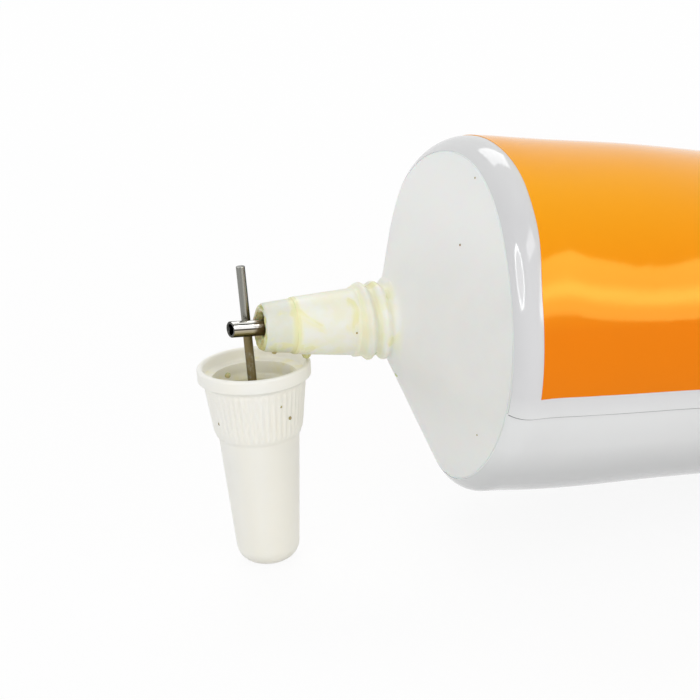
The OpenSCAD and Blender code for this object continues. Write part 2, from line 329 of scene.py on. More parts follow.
def remap(tree, value, low, high, to_low=0.0, to_high=1.0, soft=True):
    """A value's range from low to high, brought to another range."""
    made = add(tree, "ShaderNodeMapRange",
               {"Value": value, "From Min": low, "From Max": high, "To Min": to_low, "To Max": to_high},
               interpolation_type="SMOOTHSTEP" if soft else "LINEAR")
    return made.outputs["Result"]


def blend_colour(tree, share, a, b, kind="MIX"):
    """Colour a with a share of b mixed or multiplied in."""
    made = tree.nodes.new("ShaderNodeMix")
    made.data_type = "RGBA"
    made.blend_type = kind
    for socket, value in ((made.inputs[0], share), (made.inputs[6], a), (made.inputs[7], b)):
        if isinstance(value, bpy.types.NodeSocket):
            tree.links.new(value, socket)
        else:
            socket.default_value = value
    return made.outputs[2]


def ramp(tree, value, stops):
    """Colours at places from 0 to 1, blended in between."""
    made = add(tree, "ShaderNodeValToRGB", {"Fac": value})
    elements = made.color_ramp.elements
    elements.remove(elements[1])
    elements[0].position, elements[0].color = stops[0]
    for place, tone in stops[1:]:
        elements.new(place).color = tone
    return made.outputs["Color"]


def bump(tree, shader, height, distance, strength=1.0):
    made = add(tree, "ShaderNodeBump", {"Height": height, "Distance": distance, "Strength": strength})
    tree.links.new(made.outputs["Normal"], shader.inputs["Normal"])


def axes(tree, where):
    return add(tree, "ShaderNodeSeparateXYZ", {"Vector": where}).outputs


def from_axis(tree, spot):
    """Distance from the part's axis."""
    return calc(tree, "SQRT", calc(tree, "ADD", calc(tree, "MULTIPLY", spot["X"], spot["X"]),
                                   calc(tree, "MULTIPLY", spot["Y"], spot["Y"])))


def colour(red, green, blue):
    return (red, green, blue, 1.0)


# Finishes
def laminate(name, tones, gloss):
    """Glossy laminate: tones from the tube's underside to its top, which are painted light and shade,
    smudged gloss, slight orange peel.
    """
    made, tree, shader, where = new_finish(name, at_tube, Specular_Tint=gloss)
    # Painted light and shade: the colour follows the height on the tube.
    base = ramp(tree, remap(tree, axes(tree, where)["X"], -TUBE_R * MM, TUBE_R * MM, soft=False), tones)
    mottle = calc(tree, "MULTIPLY", remap(tree, speckle(tree, where, 90, 4, 0.6), 0.3, 0.7), 0.05)
    base = blend_colour(tree, mottle, base, colour(0.6, 0.6, 0.6), "MULTIPLY")
    tree.links.new(base, shader.inputs["Base Color"])
    smudge = speckle(tree, where, 45, 5, 0.62, 0.6)
    tree.links.new(remap(tree, smudge, 0.35, 0.75, 0.05, 0.12), shader.inputs["Roughness"])
    bump(tree, shader, speckle(tree, where, 700, 2), 0.00002, 0.25)
    return made


def foil_with_painted_shadow():
    """Cut edge of the laminate: grey of its barrier layer, darkened as painted shade for the shadow line
    under the lap, with paler and darker stretches.
    """
    made, tree, shader, where = new_finish("foil_and_painted_shadow", at_tube, Roughness=0.5)
    worn = remap(tree, speckle(tree, where, 120, 4, 0.6), 0.35, 0.65)
    # Painted shade: these dark greys stand in for the lap's shadow line, darkest towards the shoulder.
    shadow_dark = blend_colour(tree, worn, colour(0.20, 0.20, 0.21), colour(0.30, 0.30, 0.31))
    shadow_pale = blend_colour(tree, worn, colour(0.36, 0.36, 0.37), colour(0.50, 0.50, 0.51))
    shade_by_shoulder = remap(tree, axes(tree, where)["Z"], -9 * MM, -4 * MM)
    tree.links.new(blend_colour(tree, shade_by_shoulder, shadow_pale, shadow_dark), shader.inputs["Base Color"])
    bump(tree, shader, speckle(tree, where, 2000, 2), 0.00001, 0.3)
    return made


def stained_plastic():
    """Moulded shoulder plastic, with painted light on the cone's top and bottom, painted shade along the
    nozzle, dried glue along the nozzle and a few specks of dirt.
    """
    made, tree, shader, where = new_finish("shoulder_plastic", at_tube, IOR=1.46,
                                           Subsurface_Weight=0.25, Subsurface_Scale=0.0015)
    spot = axes(tree, where)
    height = spot["Z"]
    radius = from_axis(tree, spot)
    on_nozzle = remap(tree, height, (CONE_H - 0.6) * MM, (CONE_H + 1.2) * MM)
    clean = blend_colour(tree, remap(tree, speckle(tree, where, 160, 5, 0.6), 0.3, 0.7),
                         colour(0.82, 0.82, 0.79), colour(0.795, 0.795, 0.77))
    # Painted light: the cone is paler towards its top and bottom.
    painted_light_off_middle = remap(tree, calc(tree, "ABSOLUTE", spot["X"]), 4 * MM, 14 * MM)
    clean = blend_colour(tree, painted_light_off_middle, clean, colour(0.88, 0.88, 0.86))
    nozzle = blend_colour(tree, remap(tree, speckle(tree, where, 420, 4, 0.6), 0.35, 0.65),
                          colour(0.88, 0.88, 0.81), colour(0.87, 0.86, 0.70))
    # Painted shade along the nozzle: greyer at the neck's foot by the cone and towards the tip.
    painted_shade_by_height = ramp(tree, remap(tree, height, CONE_H * MM, TIP_Z * MM, soft=False), [
        (0.06, colour(1, 1, 1)), (0.2, colour(0.93, 0.93, 0.90)), (0.4, colour(0.98, 0.98, 0.97)),
        (0.75, colour(1, 1, 0.98)), (0.82, colour(0.88, 0.89, 0.88)), (0.97, colour(0.86, 0.87, 0.86))])
    nozzle = blend_colour(tree, 1.0, nozzle, painted_shade_by_height, "MULTIPLY")
    base = blend_colour(tree, on_nozzle, clean, nozzle)
    patch = remap(tree, speckle(tree, where, 300, 3, 0.5, 0.6), 0.52, 0.68)
    off_step = calc(tree, "ABSOLUTE", calc(tree, "SUBTRACT", height, STEP_Z * MM))
    at_step = remap(tree, off_step, 0.75 * MM, 0.1 * MM)
    in_thread = calc(tree, "MULTIPLY", remap(tree, radius, (NECK_R + 0.3) * MM, NECK_R * MM),
                     remap(tree, height, (THREAD_Z + 0.6) * MM, (THREAD_Z - 0.2) * MM))
    lined = calc(tree, "MAXIMUM", at_step, calc(tree, "MULTIPLY", in_thread, 0.5))
    stain = calc(tree, "MULTIPLY", calc(tree, "MAXIMUM", patch, lined), on_nozzle)
    base = blend_colour(tree, calc(tree, "MULTIPLY", stain, 0.75), base, colour(0.85, 0.83, 0.42))
    dirt = add(tree, "ShaderNodeTexVoronoi", {"Vector": where, "Scale": 260.0}, feature="F1")
    cell = axes(tree, dirt.outputs["Color"])["X"]
    dot = calc(tree, "MULTIPLY", remap(tree, dirt.outputs["Distance"], 0.08, 0.03),
               remap(tree, cell, 0.93, 0.95))
    base = blend_colour(tree, calc(tree, "MULTIPLY", dot, 0.75), base, colour(0.20, 0.16, 0.12))
    tree.links.new(base, shader.inputs["Base Color"])
    tree.links.new(remap(tree, stain, 0.0, 1.0, 0.42, 0.2), shader.inputs["Roughness"])
    coarse = remap(tree, speckle(tree, where, 220, 4), 0.3, 0.7, 0.36, 0.5)
    grain = calc(tree, "ADD", calc(tree, "MULTIPLY", speckle(tree, where, 1500, 2), 0.35), coarse)
    bump(tree, shader, grain, 0.00003, 0.3)
    return made


def cap_plastic():
    """Off-white moulded cap, a little translucent, with flow marks, an inside painted paler as painted
    light, glue inside its mouth and specks.
    """
    made, tree, shader, where = new_finish("cap_plastic", at_cap, IOR=1.46, Subsurface_Weight=0.3,
                                           Subsurface_Scale=0.0012, Subsurface_Radius=(1.0, 0.95, 0.85))
    spot = axes(tree, where)
    radius = from_axis(tree, spot)
    flow = remap(tree, speckle(tree, stretched(tree, where, (1, 1, 0.12)), 150, 2, 0.5), 0.35, 0.68)
    base = blend_colour(tree, flow, colour(0.92, 0.91, 0.85), colour(0.915, 0.89, 0.80))
    in_bore = calc(tree, "MULTIPLY",
                   remap(tree, radius, (THREAD_BORE_R + 0.2) * MM, (THREAD_BORE_R + 0.1) * MM),
                   remap(tree, spot["Z"], (CAP_LEN - 7) * MM, (CAP_LEN - 5) * MM))
    in_mouth = calc(tree, "MULTIPLY", remap(tree, radius, MOUTH_R * MM, (MOUTH_R - 0.1) * MM),
                    remap(tree, spot["Z"], (RIM_Z + 0.2) * MM, (RIM_Z + 0.3) * MM))
    # Painted light: the inside of the mouth and bore is paler than the outside, with glue blotches on
    # it.
    inside = calc(tree, "MAXIMUM", in_bore, in_mouth)
    glue = remap(tree, speckle(tree, where, 300, 4, 0.6, 0.5), 0.42, 0.66)
    glue_on_painted_light = blend_colour(tree, glue, colour(0.97, 0.945, 0.84), colour(0.95, 0.90, 0.62))
    base = blend_colour(tree, inside, base, glue_on_painted_light)
    dirt = add(tree, "ShaderNodeTexVoronoi", {"Vector": where, "Scale": 330.0}, feature="F1")
    cell = axes(tree, dirt.outputs["Color"])["Y"]
    dot = calc(tree, "MULTIPLY", remap(tree, dirt.outputs["Distance"], 0.09, 0.04),
               remap(tree, cell, 0.93, 0.95))
    base = blend_colour(tree, calc(tree, "MULTIPLY", dot, 0.7), base, colour(0.22, 0.20, 0.17))
    tree.links.new(base, shader.inputs["Base Color"])
    rough = remap(tree, speckle(tree, where, 300, 4), 0.3, 0.7, 0.32, 0.48)
    tree.links.new(rough, shader.inputs["Roughness"])
    bump(tree, shader, speckle(tree, where, 1300, 2), 0.00003, 0.25)
    return made


def drawn_steel(name, place, across, radius, bands, soiled, soil_low, soil_high, rough):
    """Steel drawn along z: bands of painted reflection and shade, fine lines, an end face and bore
    painted near black, and dried glue between two heights.
    """
    made, tree, shader, where = new_finish(name, place, Metallic=1.0)
    spot = axes(tree, where)
    # Painted reflections and shade: bands fixed across the steel's own axes.
    share = calc(tree, "ADD", calc(tree, "MULTIPLY", spot["X"], across[0] / radius / MM),
                 calc(tree, "MULTIPLY", spot["Y"], across[1] / radius / MM))
    base = ramp(tree, remap(tree, share, -1.0, 1.0, soft=False), bands)
    lines = speckle(tree, stretched(tree, where, (1, 1, 0.015)), 5200, 3, 0.7)
    worn = remap(tree, lines, 0.36, 0.64, 0.25, 0.0)
    base = blend_colour(tree, worn, base, colour(0.3, 0.28, 0.25), "MULTIPLY")
    # The end face and the bore are painted near black; in the bore this is painted shade.
    cut = remap(tree, from_axis(tree, spot), (radius - 0.02) * MM, (radius - 0.07) * MM)
    base = blend_colour(tree, cut, base, colour(0.06, 0.06, 0.055))
    soil = calc(tree, "MULTIPLY", remap(tree, spot["Z"], soil_low * MM, soil_high * MM),
                remap(tree, speckle(tree, where, 900, 4, 0.6), 0.25, 0.55))
    base = blend_colour(tree, soil, base, soiled)
    tree.links.new(base, shader.inputs["Base Color"])
    tree.links.new(remap(tree, soil, 0.0, 1.0, rough, rough + 0.25), shader.inputs["Roughness"])
    bump(tree, shader, lines, 0.00002, 0.2)
    return made


def dried_glue(name, place, clear, deep):
    """Yellow glue, clear where it is thin and darker in blotches."""
    made, tree, shader, where = new_finish(name, place, IOR=1.48, Subsurface_Weight=0.3,
                                           Subsurface_Scale=0.001)
    base = blend_colour(tree, remap(tree, speckle(tree, where, 800, 4, 0.6), 0.35, 0.68), clear, deep)
    tree.links.new(base, shader.inputs["Base Color"])
    rough = remap(tree, speckle(tree, where, 1500, 2), 0.3, 0.7, 0.1, 0.28)
    tree.links.new(rough, shader.inputs["Roughness"])
    bump(tree, shader, speckle(tree, where, 1200, 3), 0.00006, 0.4)
    return made


# Painted shade and light on the white sleeve: darkest underneath, a paler band below the middle, a
# little lighter at the top.
white_painted_shading = [
    (0.0, colour(0.63, 0.635, 0.64)), (0.14, colour(0.69, 0.70, 0.70)), (0.24, colour(0.83, 0.84, 0.84)),
    (0.33, colour(0.83, 0.84, 0.84)), (0.41, colour(0.71, 0.71, 0.72)), (0.5, colour(0.70, 0.70, 0.71)),
    (0.85, colour(0.68, 0.68, 0.69)), (1.0, colour(0.72, 0.725, 0.725))]
# Painted light on the orange print: lighter towards the top.
orange_painted_light = [
    (0.35, colour(0.88, 0.20, 0.0)), (0.58, colour(0.89, 0.20, 0.0)), (0.75, colour(0.96, 0.30, 0.0)),
    (0.92, colour(1.0, 0.39, 0.0))]
# Painted reflections and shade on the needle: dark and bright bands from one side to the other.
needle_painted_reflections = [
    (0.0, colour(0.05, 0.04, 0.01)), (0.08, colour(0.11, 0.09, 0.02)), (0.2, colour(0.31, 0.26, 0.13)),
    (0.38, colour(0.54, 0.49, 0.38)), (0.41, colour(0.07, 0.06, 0.05)), (0.47, colour(0.08, 0.07, 0.06)),
    (0.50, colour(0.96, 0.95, 0.92)), (0.68, colour(0.96, 0.96, 0.93)), (0.71, colour(0.10, 0.10, 0.09)),
    (0.78, colour(0.11, 0.11, 0.10)), (0.81, colour(0.92, 0.92, 0.88)), (0.92, colour(0.84, 0.84, 0.80)),
    (0.95, colour(0.08, 0.08, 0.07))]
# Painted reflections and shade on the pin.
pin_painted_reflections = [
    (0.0, colour(0.25, 0.25, 0.23)), (0.15, colour(0.43, 0.42, 0.37)), (0.32, colour(0.31, 0.28, 0.23)),
    (0.48, colour(0.43, 0.40, 0.32)), (0.66, colour(0.23, 0.20, 0.12)), (0.8, colour(0.05, 0.04, 0.01)),
    (1.0, colour(0.06, 0.05, 0.02))]
white_laminate = laminate("sleeve_laminate", white_painted_shading, colour(1, 1, 1))
orange_print = laminate("orange_print", orange_painted_light, colour(1, 0.95, 0.2))
foil_and_painted_shadow = foil_with_painted_shadow()
shoulder_finish = stained_plastic()
cap_finish = cap_plastic()
needle_steel = drawn_steel("needle_steel", at_tube, (0.95, 0.30), NEEDLE_R, needle_painted_reflections,
                           colour(0.10, 0.07, 0.03), TIP_Z + 1.1, TIP_Z + 0.6, 0.12)
pin_steel = drawn_steel("pin_steel", at_cap, (0.96, -0.27), PIN_R, pin_painted_reflections,
                        colour(0.20, 0.16, 0.08), CAP_LEN + 6, CAP_LEN + 3, 0.25)
amber_glue = dried_glue("amber_glue", at_tube, colour(0.74, 0.72, 0.38), colour(0.56, 0.52, 0.20))
brown_glue = dried_glue("brown_glue", at_tube, colour(0.48, 0.40, 0.16), colour(0.24, 0.17, 0.05))


# Shape that the filled tube has taken
def warp(point):
    """The shoulder's edge is not quite flat: its far side leans forward at the top and back below."""
    x, y, z = point
    angle = math.atan2(y, x)
    outward = smooth((math.hypot(x, y) - NECK_R) / (SEAM_R - NECK_R))
    edge = outward * smooth((z + EDGE_REACH) / EDGE_FADE)
    lean = (EDGE_LEAN_UP * math.cos(angle) + EDGE_LEAN_FAR * math.sin(angle)
            + EDGE_TWIST * math.sin(2 * angle) - EDGE_WAVE * math.cos(3 * angle))
    return (x, y, z + edge * lean)


def lap_angle(turn, s):
    """Angle about the tube's axis at a turn from the lap's edge, which dips a little at the shoulder."""
    return turn - math.pi / 2 - LAP_ANGLE - LAP_TWIST * math.exp(-max(0.0, s) / LAP_TWIST_LEN)


def hill(s, start, top, end):
    """A soft rise from 0 to 1 and back to 0."""
    return smooth((s - start) / (top - start)) * smooth((end - s) / (end - top))


def settle(s):
    """The sleeve drops at once behind the shoulder, then less than its even sag."""
    return DROP_H * hill(s, *DROP_SPAN) - RISE_H * hill(s, *RISE_SPAN)


# Sleeve
def behind(s):
    return max(0.0, s - ROUND_END)


def taper(s):
    """How far the sleeve has flattened, from 0 at its round end to 1 at the seal."""
    return min(1.0, behind(s) / (FLAT_END - ROUND_END))


def half_height(s):
    return TUBE_R - (TUBE_R - SEAL_T / 2) * taper(s) ** FULLNESS


def half_width(s):
    """Half the width that keeps the sleeve's girth while it flattens."""
    whole = (math.pi * TUBE_R / 2) ** PERIMETER_POWER
    return (whole - half_height(s) ** PERIMETER_POWER) ** (1 / PERIMETER_POWER)


def sag(s):
    """Drop of the sleeve's middle line below the shoulder's axis, less the arch over the table."""
    b = behind(s)
    droop = math.tan(SAG_ANGLE) * (b * b / SAG_LEN / 2 if b < SAG_LEN else b - SAG_LEN / 2)
    return droop - ARCH_H * math.sin(math.pi * taper(s)) ** 2


def lap_lift(turn, s):
    """Height of the upper layer at the lap, faded out along its turn and towards the seal."""
    return LAP_STEP * min(1.0, max(0.0, 1 - turn / LAP_FADE)) * (1 - taper(s))


def dent(turn, s):
    """Gentle hollows of a handled sleeve, hardly any near the shoulder and none at the seal."""
    near = DENT_NEAR_SHARE * smooth((s - LABEL_START) / DENT_NEAR_LEN)
    far = (1 - DENT_NEAR_SHARE) * smooth((s - DENT_FAR_START) / DENT_FAR_LEN)
    level = (near + far) * smooth((FLAT_END - s) / DENT_TAIL_LEN)
    spot = Vector((DENT_AROUND * math.cos(turn), DENT_AROUND * math.sin(turn), s / DENT_LEN))
    fine = noise.noise(spot * DENT_FINENESS + DENT_SHIFT)
    return level * (DENT_H * noise.noise(spot) + DENT_FINE_H * fine)


def crimp(s):
    """Corrugation pressed into the heat seal."""
    if s <= FLAT_END:
        return 0.0
    return CRIMP_H * (1 - math.cos(2 * math.pi * (s - FLAT_END) / CRIMP_PITCH)) / 2


def body_point(turn, s, grow):
    """A point of the sleeve, at a turn from the lap's edge over the front and s behind the seam."""
    angle = lap_angle(turn, s)
    flat = 1 + FLAT_SHARPNESS * taper(s) ** FLAT_ONSET
    lift = grow + lap_lift(turn, s) + dent(turn, s)
    x = (half_height(s) + lift) * max(-1.0, min(1.0, flat * math.cos(angle)))
    return warp((x - sag(s) - settle(s) + crimp(s), (half_width(s) + lift) * math.sin(angle), -s))


def roll_point(turn, over, radius, lift):
    """A point of the rolled edge between the sleeve and the shoulder, at an angle over the roll."""
    s = ROLL_LEN - radius * math.sin(over)
    angle = lap_angle(turn, s)
    r = TUBE_R - ROLL_R + radius * math.cos(over) + (lap_lift(turn, s) if lift else 0.0)
    return warp((r * math.cos(angle) - settle(s), r * math.sin(angle), -s))


def sleeve_skin(around=216, roll_rows=12, inner_rows=24, outer_rows=130, seal_rows=40):
    """The laminate, inside and outside, with its lap and the crimped seal."""
    turns = spread(0, 2 * math.pi - LAP_SLOPE, around)
    overs = spread(math.pi / 2 - CONE_ANGLE, 0, roll_rows)
    inner = spread(CAVITY_END, LABEL_START, inner_rows)
    outer = spread(LABEL_START, FLAT_END, outer_rows) + spread(FLAT_END, SLEEVE_LEN, seal_rows)[1:]
    rings = [[body_point(turn, s, -SLEEVE_WALL) for turn in turns] for s in inner]
    rings += [[roll_point(turn, over, ROLL_R - SLEEVE_WALL, False) for turn in turns]
              for over in reversed(overs)]
    rings += [[roll_point(turn, over, ROLL_R, True) for turn in turns] for over in overs]
    rings += [[body_point(turn, s, 0) for turn in turns] for s in outer]
    count = len(turns)
    points = [p for ring in rings for p in ring]
    faces = ring_faces(len(rings), count)
    for first in (0, (len(rings) - 1) * count):
        ring = points[first:first + count]
        points.append(tuple(sum(p[k] for p in ring) / count for k in range(3)))
        faces += [(first + i, first + (i + 1) % count, len(points) - 1) for i in range(count)]
    piece("sleeve_skin", points, faces, at_tube, "tube", white_laminate,
          ["sleeve"])


def label_front(turn):
    """The print's front edge wavers: nearer the shoulder low on the front, further from it above."""
    high = smooth((turn - PRINT_BACK_FROM) / PRINT_BACK_OVER)
    top = smooth((turn - PRINT_RETURN_FROM) / PRINT_RETURN_OVER)
    return LABEL_START - PRINT_AHEAD + PRINT_BACK * high - PRINT_RETURN * top


def print_film(around=132, along=120):
    """The printed panel, a thin film on the sleeve."""
    turns = spread(LABEL_LOW, LABEL_LOW + LABEL_SPAN, around)
    count = around + 1
    ways = [(turn, LABEL_T) for turn in turns] + [(turn, -LABEL_T) for turn in turns[::-1]]
    points = [body_point(turn, label_front(turn) + (LABEL_END - label_front(turn)) * share, grow)
              for share in spread(0, 1, along) for turn, grow in ways]
    faces = ring_faces(along + 1, 2 * count)
    for first in (0, along * 2 * count):
        faces += [(first + i, first + i + 1, first + 2 * count - 2 - i, first + 2 * count - 1 - i)
                  for i in range(count - 1)]
    piece("print_film", points, faces, at_tube, "tube", orange_print, ["label"])


def lap_edge(along=150, roll_rows=14):
    """Cut edge of the laminate, a grey line under the lap: partly its barrier layer, partly painted
    shade for the lap's shadow.
    """
    corners = ((-FOIL_W, -FOIL_SUNK), (0.0, -FOIL_SUNK), (0.0, FOIL_H), (-FOIL_W, FOIL_LOW_H))
    rings = [[roll_point(turn, over, ROLL_R + grow, False) for turn, grow in corners]
             for over in spread(FOIL_ROLL, 0, roll_rows)]
    rings += [[body_point(turn, s, grow - lap_lift(turn, s)) for turn, grow in corners]
              for s in spread(LABEL_START, FLAT_END - FOIL_TAIL_GAP, along)]
    last = 4 * (len(rings) - 1)
    faces = ring_faces(len(rings), 4) + [(0, 1, 2, 3), (last, last + 1, last + 2, last + 3)]
    points = [p for ring in rings for p in ring]
    piece("lap_edge", points, faces, at_tube, "tube", foil_and_painted_shadow)


# Shoulder, nozzle and needle
def ridge(angle, z, start, turns, height):
    """Height of a helical ridge at a place on a neck, faded out at both of its ends."""
    phase = (z - start) / THREAD_PITCH - angle / (2 * math.pi)
    turn = round(phase)
    along = turn + angle / (2 * math.pi)
    off = abs(phase - turn) * THREAD_PITCH
    fade = smooth(along / THREAD_FADE + 0.5) * smooth((turns - along) / THREAD_FADE + 0.5)
    return height * fade * smooth((THREAD_BASE - off) / (THREAD_BASE - THREAD_CREST))


def shoulder_profile():
    """Closed profile from the nozzle's mouth over the outside to the skirt, and back up inside."""
    tan, sin, cos = math.tan(CONE_ANGLE), math.sin(CONE_ANGLE), math.cos(CONE_ANGLE)
    edge = (SEAM_R - SEAM_GAP * cos, SEAM_GAP * sin)
    rebate = SLEEVE_WALL + BOND_GAP
    edge_r = ROLL_R - rebate
    skirt_r = TUBE_R - rebate
    bore_r = skirt_r - SHOULDER_WALL
    neck_bore_r = NECK_R - NECK_WALL
    drop = SHOULDER_WALL / cos
    corner = (NECK_R, (SEAM_R - NECK_R) * tan)
    neck_rows = 52
    cone_rows = 12
    fillet = 1.0
    fillet_gap = 0.03
    chamfer = 0.1
    step_round = 0.12
    hair = 0.02
    run_in = 0.5
    run_in_bend = 0.2
    barrel_end = (TIP_BASE_R + TIP_STEP, STEP_Z)
    outer = [(HUB_R, HUB_TOP), (HUB_R, TIP_Z - chamfer), (HUB_R + chamfer, TIP_Z)]
    outer += bend((TIP_R - TIP_ROUND, TIP_Z), (TIP_R, TIP_Z), (TIP_R + hair, TIP_Z - TIP_ROUND))
    outer += [(TIP_BASE_R, STEP_Z + hair)]
    outer += bend((TIP_BASE_R + hair, STEP_Z), barrel_end,
                  (barrel_end[0] + hair / 2, STEP_Z - step_round), 4)
    outer += bend((BARREL_R, THREAD_Z + run_in), (BARREL_R + hair / 2, THREAD_Z + run_in_bend),
                  (NECK_R, THREAD_Z), 5)
    outer += [(NECK_R, z) for z in spread(THREAD_Z - ROW_GAP, corner[1] + fillet, neck_rows)]
    outer += bend((NECK_R, corner[1] + fillet - fillet_gap), corner,
                  (NECK_R + fillet, corner[1] - fillet * tan), cone_rows)
    outer += [(NECK_R + (edge[0] - NECK_R) * share, edge[1] + (corner[1] - edge[1]) * (1 - share))
              for share in spread(0.12, 0.985, cone_rows)]
    groove = (edge[0] - SEAM_DEPTH * sin, edge[1] - SEAM_DEPTH * cos)
    across = (groove[0] + SEAM_FLARE * SEAM_GAP * cos, groove[1] - SEAM_FLARE * SEAM_GAP * sin)
    seam_round = 0.12
    seam_lip = 0.2
    outer += bend((edge[0] - seam_round * cos, edge[1] + seam_round * sin), edge, groove, 4)
    outer += [across, (across[0] - seam_lip * sin, across[1] - seam_lip * cos)]
    outer += [(edge[0] - rebate * sin, edge[1] - rebate * cos)]
    outer += [(TUBE_R - ROLL_R + edge_r * math.cos(over), edge_r * math.sin(over) - ROLL_LEN)
              for over in spread(math.pi / 2 - CONE_ANGLE, 0, 6)]
    inner = [(skirt_r, -SKIRT_LEN), (bore_r, -SKIRT_LEN), (bore_r, (SEAM_R - bore_r) * tan - drop),
             (neck_bore_r, (SEAM_R - neck_bore_r) * tan - drop), (HUB_R - HUB_LEDGE, HUB_BOTTOM),
             (HUB_R, HUB_BOTTOM)]
    return outer + inner


def shoulder_moulding():
    """Shoulder, threaded neck and nozzle in one moulding."""
    def relief(angle, r, z):
        along_neck = CONE_H - THREAD_UNDER < z <= THREAD_Z + THREAD_OVER
        on_neck = along_neck and BARREL_R - TOUCH < r < NECK_R + THREAD_H
        return ridge(angle, z, CONE_H, THREAD_TURNS - THREAD_RUN_OUT, THREAD_H) if on_neck else 0.0
    points, faces = lathe(shoulder_profile(), 168, relief, closed=True)
    points = [warp(p) for p in points]
    piece("shoulder_moulding", points, faces, at_tube, "tube", shoulder_finish,
          ["shoulder"], sharp=50)


def needle_tube():
    """Steel capillary with rounded edges, cut a little obliquely at its end."""
    edge = 0.06
    profile = [(NEEDLE_BORE_R, HUB_BOTTOM), (NEEDLE_R, HUB_BOTTOM), (NEEDLE_R, NEEDLE_END - edge)]
    profile += bend((NEEDLE_R, NEEDLE_END - edge), (NEEDLE_R, NEEDLE_END),
                    (NEEDLE_R - edge, NEEDLE_END), 3)
    profile += bend((NEEDLE_BORE_R + edge, NEEDLE_END), (NEEDLE_BORE_R, NEEDLE_END),
                    (NEEDLE_BORE_R, NEEDLE_END - 2 * edge), 3)
    points, faces = lathe(profile, 64, closed=True)
    points = [(x, y, z + (NEEDLE_SLANT * (1 + y / NEEDLE_R) if z > TIP_Z else 0.0))
              for x, y, z in points]
    piece("needle_tube", points, faces, at_tube, "tube", needle_steel, ["needle"])


# Cap and pin
def cap_profile():
    """Profile from the middle of the crown over the outside and the rim, and down to the pin's seat."""
    tip_bore_r = TIP_R + CAP_GAP
    chamber_r = NEEDLE_R + 2 * CAP_GAP
    pin_bore_r = PIN_R + PIN_GAP
    thread_end = CAP_LEN - THREAD_LEN - CAP_GAP
    mouth_end = CAP_LEN - CAP_MOUTH_LEN
    lip_r = LIP_W / 2
    foot_r = 0.7
    bevel = 0.3
    under_grip = 0.15
    under_rim = 0.25
    hair = 0.02
    grip_round = 0.2
    grip_len = RIM_Z - 2 * grip_round - GRIP_Z
    profile = [(0, 0), (foot_r, 0)]
    profile += [(CROWN_R - CROWN_ROUND + CROWN_ROUND * math.cos(a),
                 CROWN_ROUND + CROWN_ROUND * math.sin(a))
                for a in spread(-math.pi / 2, math.radians(-5), 12)]
    profile += bend((BODY_TOP_R - hair / 2, GRIP_Z - under_grip), (BODY_TOP_R, GRIP_Z),
                    (GRIP_LOW_R, GRIP_Z + grip_round), 4)
    profile += [(GRIP_LOW_R + (GRIP_TOP_R - GRIP_LOW_R) * t, GRIP_Z + grip_round + grip_len * t)
                for t in spread(0, 1, 24)][1:-1]
    profile += bend((GRIP_TOP_R, RIM_Z - grip_round), (GRIP_TOP_R + under_rim, RIM_Z),
                    (RIM_R - hair, RIM_Z + bevel), 5)
    profile += [(RIM_R - lip_r + lip_r * math.cos(a), CAP_LEN - lip_r + lip_r * math.sin(a))
                for a in spread(0, math.pi, 12)]
    profile += [(MOUTH_R, mouth_end + 0.1)]
    profile += bend((MOUTH_R, mouth_end), (MOUTH_R, mouth_end - bevel),
                    (THREAD_BORE_R, mouth_end - bevel), 4)
    profile += [(THREAD_BORE_R, z) for z in spread(mouth_end - bevel - ROW_GAP, thread_end, 30)]
    profile += [(BARREL_BORE_R, thread_end - bevel), (tip_bore_r, CAP_LEN - NOZZLE_LEN),
                (chamber_r, CAP_LEN - NOZZLE_LEN - bevel), (chamber_r, CAP_LEN - CLOSED_DEPTH),
                (pin_bore_r, CAP_LEN - CLOSED_DEPTH), (pin_bore_r, CROWN_T), (0, CROWN_T)]
    return profile


def cap_moulding():
    """Screw cap with a ribbed grip outside and a thread inside."""
    def relief(angle, r, z):
        if r > GRIP_LOW_R - TOUCH and GRIP_Z + 0.15 < z < RIM_Z - 0.25:
            ends = (smooth((z - GRIP_Z - RIB_MARGIN) / RIB_FADE)
                    * smooth((RIM_Z - RIB_MARGIN - z) / RIB_FADE))
            return RIB_H * ends * (0.5 + 0.5 * math.cos(GRIP_RIBS * angle))
        if abs(r - THREAD_BORE_R) < TOUCH and z < CAP_LEN - CAP_MOUTH_LEN - 0.3:
            start = CAP_LEN - THREAD_LEN - CAP_GAP + THREAD_BASE
            return -ridge(angle, z, start, 1.0, THREAD_H)
        return 0.0
    points, faces = lathe(cap_profile(), 8 * GRIP_RIBS, relief)
    piece("cap_moulding", points, faces, at_cap, "cap", cap_finish, ["cap_shell"],
          sharp=50)


def cap_wire():
    """Steel pin, upright in its seat and leaning a little above it."""
    edge = 0.07
    foot = CROWN_T + PIN_GAP
    free = CROWN_T + PIN_SEAT + PIN_UPRIGHT
    profile = [(0, foot), (PIN_R, foot), (PIN_R, free)]
    profile += bend((PIN_R, PIN_TOP - edge), (PIN_R, PIN_TOP), (PIN_R - edge, PIN_TOP), 3)
    profile += [(0, PIN_TOP)]
    points, faces = lathe(profile, 48)
    points = [(x - PIN_LEAN * max(0.0, z - free), y, z) for x, y, z in points]
    piece("cap_wire", points, faces, at_cap, "pin", pin_steel, ["cap_pin"])


